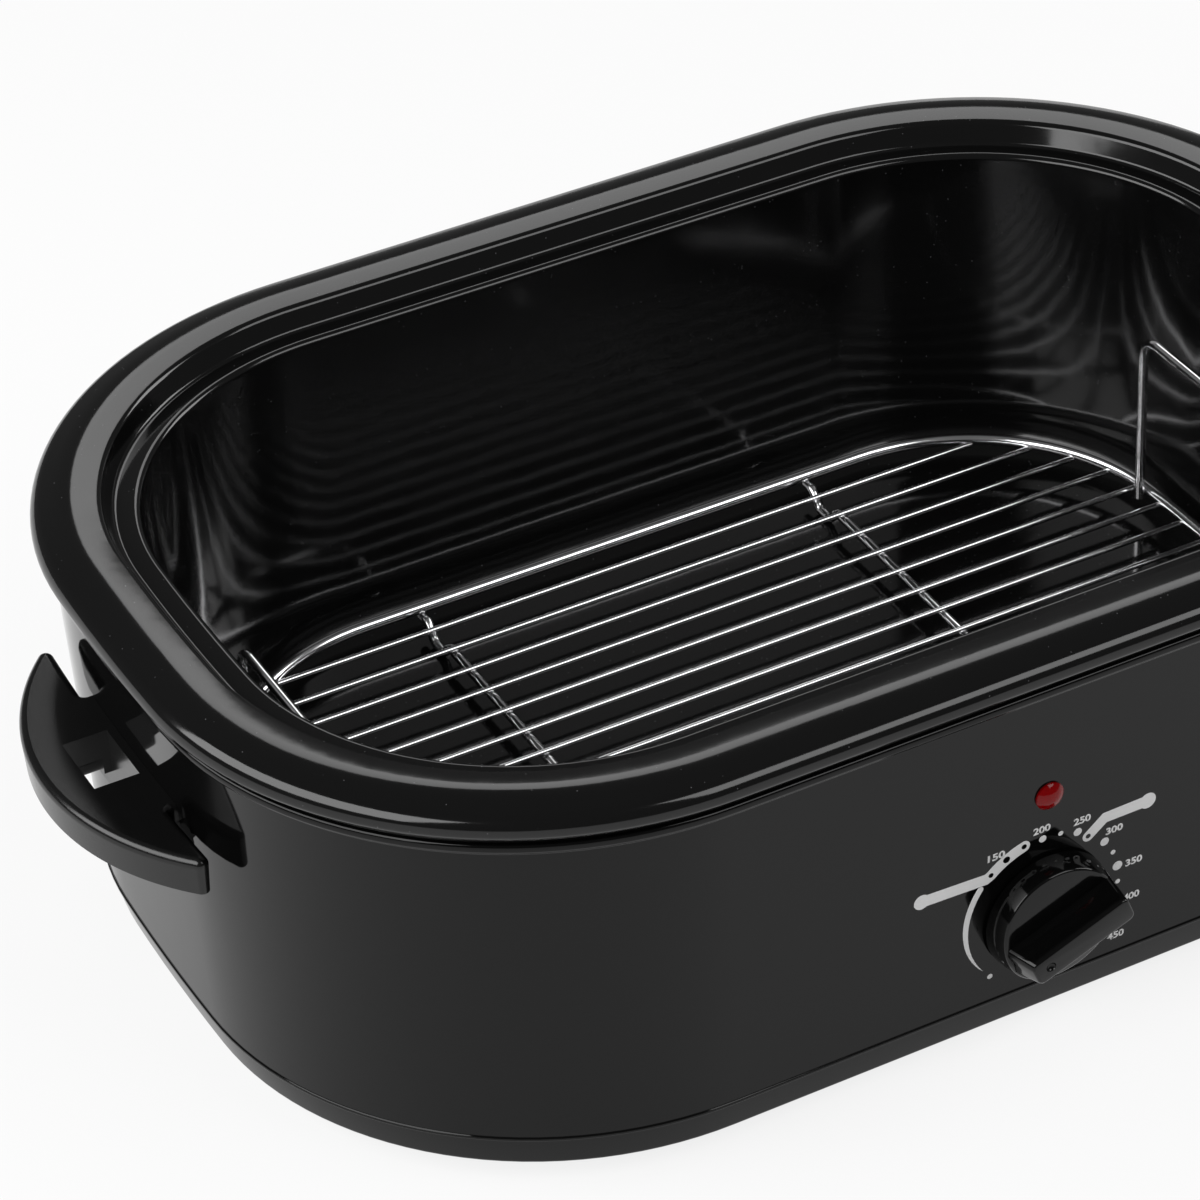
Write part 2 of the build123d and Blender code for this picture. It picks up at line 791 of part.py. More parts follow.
with BuildPart() as handle_right:
    with BuildSketch(Plane.XY.offset(grip_top_z)) as grip_plan:
        with BuildLine():
            crescent(0)
        make_face()
        fillet(grip_plan.vertices(), grip_tip)
        with Locations((root_middle, 0)):
            Rectangle(chord_x - root_x, hub_width)
        hub_ends = grip_plan.vertices().filter_by_position(
            Axis.Y, -hub_width / 2 - 1, hub_width / 2 + 1
        )
        fillet(hub_ends.group_by(Axis.X)[-1], hub_web)
    extrude(amount=-grip_depth, taper=grip_draft)
    fillet(handle_right.edges().group_by(Axis.Z)[-1].sort_by(Axis.X)[1:], grip_edge)
    # The grip is an open tray underneath
    with BuildSketch(Plane.XY.offset(grip_low_z)) as tray:
        with BuildLine():
            crescent(grip_skin)
        make_face()
        fillet(tray.vertices(), grip_tip - grip_skin)
    extrude(amount=grip_depth - grip_skin, mode=Mode.SUBTRACT)
    # Hub plate against the shell
    with BuildSketch(Plane.YZ.offset(root_x)) as hub_plan:
        with Locations((0, grip_top_z - grip_skin - (hub_height - grip_skin) / 2)):
            Rectangle(hub_width, hub_height - grip_skin)
        fillet(hub_plan.vertices().group_by(Axis.Z)[0], hub_corner)
    extrude(amount=chord_x - root_x)
    # Collar round the through hole, and a rib on each side of it
    with BuildSketch(Plane.XY.offset(grip_top_z - grip_skin)):
        with Locations((chord_x + (grip_hole_length + collar_wall) / 2, 0)):
            Rectangle(grip_hole_length + collar_wall, grip_hole_width + 2 * collar_wall)
    extrude(amount=grip_skin - collar_depth)
    with BuildSketch(Plane.XY.offset(grip_top_z - grip_skin)):
        with Locations((chord_x + grip_skin / 2, 0)):
            Rectangle(grip_skin, grip_hole_width + 2 * rib_width)
    extrude(amount=grip_skin - rib_depth)
    with BuildSketch(Plane.XY.offset(grip_top_z)):
        with Locations((chord_x + grip_hole_length / 2, 0)):
            Rectangle(grip_hole_length, grip_hole_width)
    extrude(amount=-hub_height, mode=Mode.SUBTRACT)
    # Bosses for the screws, which come from inside the shell
    with BuildSketch(Plane.YZ.offset(root_x)):
        with Locations((0, handle_screw_z)):
            with GridLocations(2 * handle_screw_y, 1, 2, 1):
                Circle(boss_radius)
    extrude(amount=wall_x + handle_boss_length - root_x)
    with BuildSketch(Plane.YZ.offset(root_x)):
        with Locations((0, handle_screw_z)):
            with GridLocations(2 * handle_screw_y, 1, 2, 1):
                Circle(thread_radius)
    extrude(amount=wall_x + handle_boss_length - 2 * blind_end - root_x, mode=Mode.SUBTRACT)
    # The back follows the shell's curved, leaning wall
    with Locations((end_x, 0, (trim_low_z + trim_high_z) / 2)):
        Cone(
            end_radius - shell_inset(trim_low_z) + handle_clearance,
            end_radius - shell_inset(trim_high_z) + handle_clearance,
            trim_high_z - trim_low_z,
            mode=Mode.SUBTRACT,
        )

with BuildPart() as handle_left:
    mirror(handle_right.part, about=Plane.YZ)

washer_x = (
    oval_reach(
        handle_screw_y + washer_radius, shell_inset(handle_screw_z - washer_radius) + shell_sheet
    )
    - washer_gap
    - washer_sheet
)
with BuildPart() as handle_washers:
    with BuildSketch(Plane.YZ.offset(washer_x)):
        with Locations((0, handle_screw_z)):
            with GridLocations(2 * handle_screw_y, 1, 2, 1):
                Circle(washer_radius)
                Circle(hole_radius, mode=Mode.SUBTRACT)
    extrude(amount=washer_sheet)
    mirror(about=Plane.YZ)

with BuildPart() as handle_screws:
    with BuildSketch(Plane.YZ.offset(washer_x)):
        with Locations((0, handle_screw_z)):
            with GridLocations(2 * handle_screw_y, 1, 2, 1):
                Circle(screw_head_radius)
    extrude(amount=-screw_head_height)
    with BuildSketch(Plane.YZ.offset(washer_x)):
        with Locations((0, handle_screw_z)):
            with GridLocations(2 * handle_screw_y, 1, 2, 1):
                Circle(screw_radius)
    extrude(amount=wall_x + handle_boss_length - 3 * blind_end - washer_x)
    mirror(about=Plane.YZ)

# --- Rack --------------------------------------------------------------------------------------

rack_inset = pan_inset(pan_floor_z) + rack_clearance + rim_wire
rim_z = pan_floor_z + rack_height
rail_z = rim_z - rim_wire - rail_wire + weld
thin_z = rail_z + rail_wire + thin_wire - weld
rail_foot_z = pan_floor_z + rack_floor_gap + rail_wire
rail_y = half_width - rack_inset
rail_drop = rail_z - rail_foot_z

with BuildPart() as rack_rim:
    with BuildLine():
        oval(rack_inset)
    with BuildSketch(Plane.YZ):
        with Locations(at(rack_inset, rim_z)):
            Circle(rim_wire)
    sweep()

# Each cross rail dips to the floor at both ends, as a foot
with BuildPart() as rack_rails:
    for rail_plane in (Plane.YZ.offset(-rail_x), Plane.YZ.offset(rail_x)):
        foot_start = rail_y - rail_foot_in
        foot_end = foot_start - 2 * rail_drop - rail_foot_length
        half_rail = [
            (rail_y, rail_z),
            (foot_start, rail_z),
            (foot_start - rail_drop, rail_foot_z),
            (foot_end + rail_drop, rail_foot_z),
            (foot_end, rail_z),
        ]
        with BuildLine(rail_plane):
            rail = FilletPolyline(
                [(-y, z) for y, z in half_rail] + half_rail[::-1], radius=rail_bend
            )
        with BuildSketch(Plane(origin=rail @ 0, z_dir=rail % 0)):
            Circle(rail_wire)
        sweep()

with BuildPart() as rack_wires:
    wire_rows = int((rail_y - 2 * rim_wire - thin_wire) / thin_wire_pitch)
    rim_side = sqrt(rim_wire**2 - (rim_z - thin_z) ** 2)
    for row in range(-wire_rows, wire_rows + 1):
        reach = oval_reach(row * thin_wire_pitch, rack_inset + rim_side) + weld
        with BuildSketch(Plane.YZ.offset(-reach)):
            with Locations((row * thin_wire_pitch, thin_z)):
                Circle(thin_wire)
        extrude(amount=2 * reach)

lift_x = oval_reach(lift_width / 2, rack_inset) - rim_wire - rail_wire + weld
with BuildPart() as rack_handles:
    for lift_plane in (Plane.YZ.offset(-lift_x), Plane.YZ.offset(lift_x)):
        with BuildLine(lift_plane):
            bail = FilletPolyline(
                (-lift_width / 2, rim_z - rim_wire),
                (-lift_width / 2, rim_z + lift_height),
                (lift_width / 2, rim_z + lift_height),
                (lift_width / 2, rim_z - rim_wire),
                radius=lift_bend,
            )
        with BuildSketch(Plane(origin=bail @ 0, z_dir=bail % 0)):
            Circle(rail_wire)
        sweep()

# --- Export ------------------------------------------------------------------------------------

pieces = {
    "outer_shell": outer_shell,
    "base_pan": base_pan,
    "cookwell": cookwell,
    "heat_liner": heat_liner,
    "weld_bosses": weld_bosses,
    "bottom_reflector": bottom_reflector,
    "standoff_sleeves": standoff_sleeves,
    "feet": feet,
    "foot_screws": foot_screws,
    "heater_band": heater_band,
    "heater_lugs": heater_lugs,
    "heater_clips": heater_clips,
    "insulation_blanket": insulation_blanket,
    "thermostat_bracket": thermostat_bracket,
    "heat_shield": heat_shield,
    "thermostat_body": thermostat_body,
    "thermostat_screws": thermostat_screws,
    "sensor_pad": sensor_pad,
    "sensor_stem": sensor_stem,
    "thermostat_shaft": thermostat_shaft,
    "knob": knob,
    "knob_spring": knob_spring,
    "pilot_lens": pilot_lens,
    "pilot_retainer": pilot_retainer,
    "pilot_housing": pilot_housing,
    "cord_gland": cord_gland,
    "handle_right": handle_right,
    "handle_left": handle_left,
    "handle_washers": handle_washers,
    "handle_screws": handle_screws,
    "rack_rim": rack_rim,
    "rack_rails": rack_rails,
    "rack_wires": rack_wires,
    "rack_handles": rack_handles,
}
for name, piece in pieces.items():
    piece.part.label = name
    export_step(piece.part, f"parts/{name}.step")
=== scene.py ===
# %% [markdown]
# # An oval roaster oven
#
# The real object is a countertop roaster: a black enamelled steel oval on four rubber feet, with a
# deep cookwell that lifts out, crescent grips on its ends, and a dial with a red lamp in front.
# This notebook dresses a measured model of it. The model's pieces are loaded first, and each new
# piece below is drawn in the same frame, in metres, so it lands where the maker would mount it.

# %% Load the measured model
import json
import math

import bpy
from mathutils import Matrix, Vector


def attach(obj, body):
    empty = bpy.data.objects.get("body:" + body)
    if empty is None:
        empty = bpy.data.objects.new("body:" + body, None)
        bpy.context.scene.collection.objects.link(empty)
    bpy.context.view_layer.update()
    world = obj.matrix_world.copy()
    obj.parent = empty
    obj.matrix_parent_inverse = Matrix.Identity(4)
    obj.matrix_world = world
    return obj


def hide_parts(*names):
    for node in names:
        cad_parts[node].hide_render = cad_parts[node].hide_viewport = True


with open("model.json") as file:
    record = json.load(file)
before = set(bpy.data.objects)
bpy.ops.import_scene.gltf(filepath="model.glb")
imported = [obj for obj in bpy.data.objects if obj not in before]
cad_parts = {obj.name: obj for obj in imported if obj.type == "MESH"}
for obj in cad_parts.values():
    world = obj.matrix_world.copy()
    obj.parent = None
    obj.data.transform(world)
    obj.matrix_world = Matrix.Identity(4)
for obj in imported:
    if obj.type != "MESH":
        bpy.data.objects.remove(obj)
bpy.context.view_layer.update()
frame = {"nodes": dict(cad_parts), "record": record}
nodes = frame["nodes"]

# %% [markdown]
# ## The camera
#
# A camera could be aimed by eye, but a product view is easier to keep when its place and its three
# directions are written down. The lens is long, so the oval keeps its shape, and the frame cuts
# off the right end. A small lens shift does that without turning the camera away from the dial.

# %% Stand the camera to the left of the dial, well above the rim
turn, tilt, roll = -0.464, 0.648, -0.052
camera_place = (-0.6935, -1.2648, 1.1259)
focal_length, shift_right, shift_up = 137.85, -0.0263, 0.1035
ahead = Vector(
    (-math.sin(turn) * math.cos(tilt), math.cos(turn) * math.cos(tilt), -math.sin(tilt))
)
right = Vector((math.cos(turn), math.sin(turn), 0))
above = right.cross(ahead)
side = math.cos(roll) * right + math.sin(roll) * above
upward = math.cos(roll) * above - math.sin(roll) * right
bpy.ops.object.camera_add(location=camera_place)
camera = bpy.context.object
camera.name = "product_camera"
camera.rotation_euler = Matrix((side, upward, -ahead)).transposed().to_euler()
camera.data.lens = focal_length
camera.data.shift_x = shift_right
camera.data.shift_y = shift_up
bpy.context.scene.camera = camera
print("camera at", tuple(camera.location), "looking along", tuple(ahead))

# %% [markdown]
# ## Drawing a sheet-metal section
#
# Shell, base and cookwell are all pressed sheet. Each is one section that runs round the same
# oval: straight sides, four corner arcs and two shallow end arcs. A lathe can't make an oval, so
# the section is drawn once, as a line of points, and then pushed and spun round in nine strokes.
# The helpers here round a line's corners and give it the thickness of the sheet.

# %% The oval's sizes, and helpers for a section
half_length, half_width = 0.270, 0.1895
corner_radius, end_radius = 0.154, 1.200
corner_y = half_width - corner_radius
end_x = half_length - end_radius
corner_x = end_x + math.sqrt((end_radius - corner_radius) ** 2 - corner_y**2)
end_turn = math.atan2(corner_y, corner_x - end_x)


def rounded(corners, radii, fine=0.16):
    """A line's points, with each inner corner turned into an arc."""
    points = [Vector(corners[0])]
    for before, here, after, radius in zip(corners, corners[1:], corners[2:], radii):
        before, here, after = Vector(before), Vector(here), Vector(after)
        come, go = (here - before).normalized(), (after - here).normalized()
        bend = come.angle_signed(go)
        reach = radius * math.tan(abs(bend) / 2)
        start = here - come * reach
        inward = Vector((come.y, -come.x)) * (1 if bend > 0 else -1)
        middle = start + inward * radius
        count = max(2, math.ceil(abs(bend) / fine))
        for k in range(count + 1):
            swing = Matrix.Rotation(-bend * k / count, 2)
            points.append(middle + swing @ (start - middle))
    points.append(Vector(corners[-1]))
    return points


def other_skin(points, sheet):
    """The same line, moved to its right by the thickness of the sheet."""
    ways = [(after - here).normalized() for here, after in zip(points, points[1:])]
    moved = []
    for point, come, go in zip(points, ways[:1] + ways, ways + ways[-1:]):
        along = (come + go).normalized()
        reach = sheet / max(0.5, come.dot(along))
        moved.append(point + Vector((along.y, -along.x)) * reach)
    return moved


def at(inset, height):
    """A section's point in front of the middle, from its distance inside the rim."""
    return (inset - half_width, height)


print("straight sides reach x =", round(corner_x, 4), "end arcs turn", round(end_turn, 4))

# %% [markdown]
# ## Growing a line of points
#
# By hand one would add a plane, merge it to a single point and extrude that point along the
# section. The same operators are called here. Everything is deselected first, because an operator
# acts on whatever is selected.


# %% Operators that draw a line
def lone_point(name, place):
    """A new object that is one point, left in edit mode with that point selected."""
    bpy.ops.object.select_all(action="DESELECT")
    bpy.ops.mesh.primitive_plane_add(size=0.001, location=(0, 0, 0))
    piece = bpy.context.object
    piece.name = piece.data.name = name
    bpy.ops.object.mode_set(mode="EDIT")
    bpy.ops.mesh.select_mode(type="VERT")
    bpy.ops.mesh.select_all(action="SELECT")
    bpy.ops.mesh.merge(type="CENTER")
    bpy.ops.mesh.select_all(action="SELECT")
    bpy.ops.transform.translate(value=place)
    return piece


def draw_line(name, places, closed=False):
    """A new object: a line through these places, left in edit mode and selected."""
    piece = lone_point(name, places[0])
    for here, after in zip(places, places[1:]):
        step = Vector(after) - Vector(here)
        bpy.ops.mesh.extrude_region_move(TRANSFORM_OT_translate={"value": step})
    bpy.ops.mesh.select_all(action="SELECT")
    if closed:
        bpy.ops.mesh.remove_doubles(threshold=1e-6)
    return piece


# %% [markdown]
# ## Carrying the line round the oval
#
# The drawn line stands in front of the middle. A straight side is one extrusion and an arc is one
# spin, so the way round is half a front side, an end, the back side, the other end and the rest of
# the front. The last stroke ends where the first began, and merging by distance closes the ring.

# %% Operators that carry a line round, and finish its skin
corner_steps, end_steps = 30, 6
smooth_angle = math.radians(32)


def push(distance):
    """Extrude the selected line to the right, or to the left by a negative distance."""
    bpy.ops.mesh.extrude_region_move(TRANSFORM_OT_translate={"value": (distance, 0, 0)})


def spin(angle, middle, count):
    """Spin the selected line to the left about an upright axis: the operator turns rightwards."""
    bpy.ops.mesh.spin(steps=count, angle=angle, center=middle, axis=(0, 0, -1))


def carry_round():
    """Carry the selected line, which stands on the plane x = 0 in front, round the oval."""
    corner_turn = math.pi / 2 - end_turn
    push(corner_x)
    for way, straight in ((1, -2 * corner_x), (-1, corner_x)):
        spin(corner_turn, (way * corner_x, -way * corner_y, 0), corner_steps)
        spin(2 * end_turn, (way * end_x, 0, 0), end_steps)
        spin(corner_turn, (way * corner_x, way * corner_y, 0), corner_steps)
        push(straight)
    bpy.ops.mesh.select_all(action="SELECT")
    bpy.ops.mesh.remove_doubles(threshold=1e-5)


def close_loops():
    """Fill every open edge loop with one flat face."""
    bpy.ops.mesh.select_all(action="DESELECT")
    bpy.ops.mesh.select_non_manifold(extend=False, use_boundary=True)
    bpy.ops.mesh.edge_face_add()
    bpy.ops.mesh.select_all(action="SELECT")


def finish_mesh(piece):
    """Turn all faces outwards, leave edit mode and shade smooth up to an angle."""
    bpy.ops.mesh.select_all(action="SELECT")
    bpy.ops.mesh.normals_make_consistent(inside=False)
    bpy.ops.object.mode_set(mode="OBJECT")
    bpy.ops.object.shade_smooth_by_angle(angle=smooth_angle)
    low = [min(v.co[k] for v in piece.data.vertices) for k in range(3)]
    high = [max(v.co[k] for v in piece.data.vertices) for k in range(3)]
    print(piece.name, "faces", len(piece.data.polygons), [round(v, 4) for v in low + high])


print("one corner takes", corner_steps, "steps and one end", end_steps)

# %% [markdown]
# ## The outer shell
#
# The shell is a band of black enamelled steel. It leans out a little as it rises, and its top edge
# is rolled into a proud bead and a lip that turns inwards. The lip is what the heating well hangs
# on, so it is part of the same section. The bottom edge is curled over the seam with the base.

# %% Draw the shell's section and carry it round
seam_inset, neck_inset, bead_inset, lip_inset = 0.0104, 0.0062, 0.0036, 0.0130
seam_z, neck_z, bead_z, shell_top_z = 0.0234, 0.157, 0.1594, 0.1628
curl_reach, curl_back, curl_top_z = 0.0006, 0.0004, 0.03
shell_sheet = 0.001


def shell_inset(height):
    """How far inside the rim the shell's outer face is."""
    return seam_inset + (neck_inset - seam_inset) * (height - seam_z) / (neck_z - seam_z)


outside = rounded(
    [
        at(seam_inset + curl_back, seam_z - curl_reach),
        at(seam_inset - curl_reach, seam_z - curl_reach),
        at(seam_inset - curl_reach, seam_z + curl_reach),
        at(shell_inset(seam_z + 2 * curl_reach), seam_z + 2 * curl_reach),
        at(neck_inset, neck_z),
        at(bead_inset, bead_z),
        at(bead_inset, shell_top_z),
        at(lip_inset, shell_top_z),
    ],
    [0.0005, 0.0005, 0.0006, 0.0009, 0.0018, 0.0018],
)
wall_and_bead = [p for p in outside if p.y > curl_top_z]
inside = other_skin([Vector(at(seam_inset, seam_z))] + wall_and_bead, shell_sheet)
loop = outside + inside[::-1] + [outside[0]]
shell = draw_line("shell_band", [(0, p.x, p.y) for p in loop], closed=True)
carry_round()
finish_mesh(shell)
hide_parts("outer_shell")
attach(shell, "oven_body")

# %% [markdown]
# ## The base pan
#
# The base is a shallow tray pushed up into the shell. It shows as a narrow band that curls under.
# Its section ends at the edge of the flat floor, and the floor itself is one flat face each side.

# %% Draw the base pan
tray_floor, tray_heel = at(0.0356, 0.005), at(0.0132, 0.0095)
tray_seam, tray_top = at(0.0115, seam_z), at(0.01125, 0.0314)
tray_sheet = 0.001
base_line = rounded([tray_floor, tray_heel, tray_seam, tray_top], [0.0022, 0.002])
loop = base_line + other_skin(base_line, tray_sheet)[::-1]
base = draw_line("base_tray", [(0, p.x, p.y) for p in loop])
carry_round()
close_loops()
finish_mesh(base)
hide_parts("base_pan")
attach(base, "oven_body")

# %% [markdown]
# ## The cookwell
#
# The cookwell is drawn deep from one sheet and enamelled all over. From outside in it has a rolled
# hem, a broad domed flange, a sharp step, a flat ledge for a lid, and the drafted well. The hem is
# a full bead, so the underside of the section runs round it before it follows the sheet.

# %% Lay out the cookwell's upper skin
ledge_z, floor_z = 0.1690, 0.0320
pan_slope = math.tan(math.radians(3.5))
wall_inset = 0.041
hem_radius, hem_z = 0.0022, 0.1692


def pan_inset(height):
    """How far inside the rim the cookwell's inner face is."""
    return wall_inset + (ledge_z - height) * pan_slope


shoulder, crown, flange_edge = at(0, 0.1743), at(0.0135, 0.1785), at(0.0267, 0.1771)
step_foot, ledge_edge = at(0.0306, ledge_z - 0.0009), at(wall_inset, ledge_z + 0.0006)
floor_corner, floor_edge = pan_inset(floor_z), pan_inset(floor_z) + 0.0234
top_skin = rounded(
    [
        at(0, hem_z),
        shoulder,
        crown,
        flange_edge,
        step_foot,
        ledge_edge,
        at(floor_corner, floor_z),
        at(floor_edge, floor_z),
    ],
    [0.0067, 0.024, 0.003, 0.002, 0.0024, 0.018],
    fine=0.1,
)
print("points on the cookwell's upper skin:", len(top_skin))

# %% [markdown]
# ## Hem and underside of the cookwell
#
# The other skin lies one sheet below the first. Close to the edge it would run into the bead, so
# its points there are left out, and the bead's own arc takes their place.

# %% Draw the cookwell
pan_sheet = 0.0012
hem_start, hem_sweep, hem_steps = 40, 220, 16
above_hem, behind_hem = 0.1705, at(0.01, 0)[0]
under_skin = [
    p for p in other_skin(top_skin, pan_sheet) if p.y > above_hem or p.x > behind_hem
]
hem_middle = Vector(at(hem_radius, hem_z))
hem_angles = [math.radians(hem_start - hem_sweep * k / hem_steps) for k in range(hem_steps)]
hem = [hem_middle + hem_radius * Vector((math.cos(a), math.sin(a))) for a in hem_angles]
loop = under_skin[::-1] + hem + top_skin
pan = draw_line("enamel_cookwell", [(0, p.x, p.y) for p in loop])
carry_round()
close_loops()
finish_mesh(pan)
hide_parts("cookwell")
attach(pan, "pan")

# %% [markdown]
# ## The knob's skirt and face
#
# The knob is moulded in one shot: a hollow skirt, a face that falls away to both sides like a low
# roof, and a tall pointer bar with drafted flanks across it. The skirt is lathed from its section,
# and two slanting cuts make the roof. The knob is built standing on its back at the origin and
# then laid against the leaning wall.

# %% Lathe the skirt and cut the roof
knob_radius, face_radius, face_height = 0.0260, 0.0239, 0.0138
skirt_inside, skirt_back = 0.0238, 0.0008
hub_radius, hub_back = 0.0070, 0.0012
pocket_radius, pocket_height = 0.0224, 0.0078
ridge_height, ridge_half = 0.0120, 0.0070
bar_lean, roof_slope = math.radians(22), math.radians(5)
knob_section = [
    (0, hub_back),
    (hub_radius, hub_back),
    (hub_radius, pocket_height),
    (pocket_radius, pocket_height),
    (skirt_inside, skirt_back),
    (knob_radius, skirt_back),
    (face_radius, face_height),
    (0, face_height),
]
knob = draw_line("dial_knob_cap", [(radius, 0, height) for radius, height in knob_section])
bpy.ops.mesh.spin(steps=96, angle=math.tau, center=(0, 0, 0), axis=(0, 0, 1))
bpy.ops.mesh.select_all(action="SELECT")
bpy.ops.mesh.remove_doubles(threshold=1e-6)
across = Vector((-math.sin(bar_lean), math.cos(bar_lean), 0))
for way in (1, -1):
    bpy.ops.mesh.select_all(action="SELECT")
    bpy.ops.mesh.bisect(
        plane_co=way * ridge_half * across + Vector((0, 0, ridge_height)),
        plane_no=way * math.sin(roof_slope) * across + Vector((0, 0, math.cos(roof_slope))),
        use_fill=True,
        clear_outer=True,
    )
bpy.ops.mesh.select_all(action="SELECT")
bpy.ops.mesh.normals_make_consistent(inside=False)
bpy.ops.object.mode_set(mode="OBJECT")
print("skirt and roof faces", len(knob.data.polygons))

# %% [markdown]
# ## Rounding and joining
#
# Moulded edges are never sharp, and a bevel limited to the steep edges rounds them all at once.
# Joining or cutting one solid with another is a Boolean modifier. Both are put on, set and applied
# in the same way, so one helper does it, and a second one throws the used-up tool away.

# %% Helpers for modifiers, and the knob's rounded edges
round_edges = {"segments": 3, "limit_method": "ANGLE", "angle_limit": math.radians(40)}
skirt_rounding, bar_rounding = 0.0009, 0.0008


def apply_modifier(piece, kind, **values):
    """Put a modifier on a piece, set it and apply it."""
    bpy.ops.object.select_all(action="DESELECT")
    piece.select_set(True)
    bpy.context.view_layer.objects.active = piece
    bpy.ops.object.modifier_add(type=kind)
    for name, value in values.items():
        setattr(piece.modifiers[0], name, value)
    bpy.ops.object.modifier_apply(modifier=piece.modifiers[0].name)


def use_up(tool, piece, operation):
    """Join a tool to a piece or cut it out of the piece, and remove the tool."""
    apply_modifier(piece, "BOOLEAN", object=tool, operation=operation, solver="EXACT")
    bpy.data.objects.remove(tool)


apply_modifier(knob, "BEVEL", width=skirt_rounding, **round_edges)
print("faces with rounded edges", len(knob.data.polygons))

# %% [markdown]
# ## The pointer bar
#
# The bar is a block whose outer end is drawn in, so that it leaves the mould. Faces are chosen by
# their normal and edges by their height, which keeps working when a size is changed. Its upright
# corners get a wide round, all other edges a small one, and then it is joined to the face.

# %% Shape the bar and join it on
bar_foot, bar_front, bar_length, bar_width = 0.0060, 0.0240, 0.0498, 0.0156
front_share, front_shift = (0.865, 0.70, 1), (0.0018, 0, 0)
corner_rounding = 0.0026
bpy.ops.mesh.primitive_cube_add(size=1, location=(0, 0, (bar_foot + bar_front) / 2))
bar = bpy.context.object
bar.scale = (bar_length, bar_width, bar_front - bar_foot)
bpy.ops.object.transform_apply(scale=True, location=True)
bpy.ops.object.mode_set(mode="EDIT")
bpy.ops.mesh.select_all(action="DESELECT")
bpy.ops.object.mode_set(mode="OBJECT")
for face in bar.data.polygons:
    face.select = face.normal.z > 0.9
bpy.ops.object.mode_set(mode="EDIT")
bpy.ops.mesh.select_mode(type="FACE")
bpy.ops.transform.resize(value=front_share)
bpy.ops.transform.translate(value=front_shift)
bpy.ops.mesh.select_all(action="DESELECT")
bpy.ops.object.mode_set(mode="OBJECT")
for edge in bar.data.edges:
    low, high = [bar.data.vertices[k].co.z for k in edge.vertices]
    edge.select = abs(low - high) > 0.001
bpy.ops.object.mode_set(mode="EDIT")
bpy.ops.mesh.select_mode(type="EDGE")
bpy.ops.mesh.bevel(offset=corner_rounding, segments=5)
bpy.ops.object.mode_set(mode="OBJECT")
apply_modifier(bar, "BEVEL", width=bar_rounding, **round_edges)
bar.rotation_euler = (0, 0, bar_lean)
bpy.ops.object.transform_apply(rotation=True)
use_up(bar, knob, "UNION")
print("faces with the bar", len(knob.data.polygons))

# %% [markdown]
# ## Dimple, bore and place
#
# A round dimple near one end of the bar shows where it points, and a bore takes the thermostat's
# shaft. A ball and a cylinder cut them. Then the knob is tipped on to the wall, and its place is
# applied to its mesh, because every finished piece keeps its origin at the world's.

# %% Cut dimple and bore, and mount the knob
dimple_radius, dimple_reach, dimple_lift = 0.0022, 0.0132, 0.0008
bore_radius, bore_depth, bore_middle = 0.00305, 0.0222, 0.0101
knob_x, knob_z = 0.0130, 0.0590
wall_lean = math.atan2(seam_inset - neck_inset, neck_z - seam_z)
pointer = math.radians(180) + bar_lean
dimple_place = (
    dimple_reach * math.cos(pointer),
    dimple_reach * math.sin(pointer),
    bar_front + dimple_lift,
)
bpy.ops.mesh.primitive_uv_sphere_add(
    segments=32, ring_count=16, radius=dimple_radius, location=dimple_place
)
use_up(bpy.context.object, knob, "DIFFERENCE")
bpy.ops.mesh.primitive_cylinder_add(
    vertices=48, radius=bore_radius, depth=bore_depth, location=(0, 0, bore_middle)
)
use_up(bpy.context.object, knob, "DIFFERENCE")
knob.location = (knob_x, shell_inset(knob_z) - half_width, knob_z)
knob.rotation_euler = (math.pi / 2 + wall_lean, 0, 0)
bpy.ops.object.transform_apply(location=True, rotation=True)
bpy.ops.object.shade_smooth_by_angle(angle=smooth_angle)
print("knob faces", len(knob.data.polygons))
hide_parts("knob")
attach(knob, "dial_knob")

# %% [markdown]
# ## Materials, and how a finish is wired
#
# Stove enamel is nearly black and almost a mirror, and what makes it read as enamel is the slight
# waviness of the skin and a few specks of dust. A finish like that needs no image: noise on Object
# coordinates gives the waves, and a Voronoi texture gives the specks.


# %% Helpers that wire a finish
def finish(name, colour, rough, metal=0.0, **extra):
    """A material and its principled shader, ready for more nodes."""
    made = bpy.data.materials.new(name)
    made.use_nodes = True
    shader = made.node_tree.nodes["Principled BSDF"]
    shader.inputs["Base Color"].default_value = (*colour, 1)
    shader.inputs["Roughness"].default_value = rough
    shader.inputs["Metallic"].default_value = metal
    for socket, value in extra.items():
        shader.inputs[socket.replace("_", " ")].default_value = value
    return made, shader


def add_node(made, kind, **values):
    """A new node in a material, with its settings and its sockets' values."""
    node = made.node_tree.nodes.new(kind)
    for name, value in values.items():
        if hasattr(node, name):
            setattr(node, name, value)
        else:
            node.inputs[name.replace("_", " ")].default_value = value
    return node


def wire(made, out, into):
    """Link one node's output to another node's input."""
    made.node_tree.links.new(out, into)


def coat(piece, made):
    """Give a piece this material and no other."""
    piece.data.materials.clear()
    piece.data.materials.append(made)


# %% [markdown]
# ## Waves, wear and specks
#
# Three small networks are enough for every finish here. Waves tilt the normal a little, wear lets
# the roughness wander as handling and firing do, and specks put rare pale grains into a glaze.

# %% Waves, wear and specks
speck_rarity = 0.84


def waves(made, shader, scale, depth, detail=2.0):
    """Bump from noise: the unevenness of a fired or moulded skin."""
    where = add_node(made, "ShaderNodeTexCoord")
    noise = add_node(made, "ShaderNodeTexNoise", Scale=scale, Detail=detail)
    bump = add_node(made, "ShaderNodeBump", Strength=1.0, Distance=depth)
    wire(made, where.outputs["Object"], noise.inputs["Vector"])
    wire(made, noise.outputs["Fac"], bump.inputs["Height"])
    wire(made, bump.outputs["Normal"], shader.inputs["Normal"])
    return where


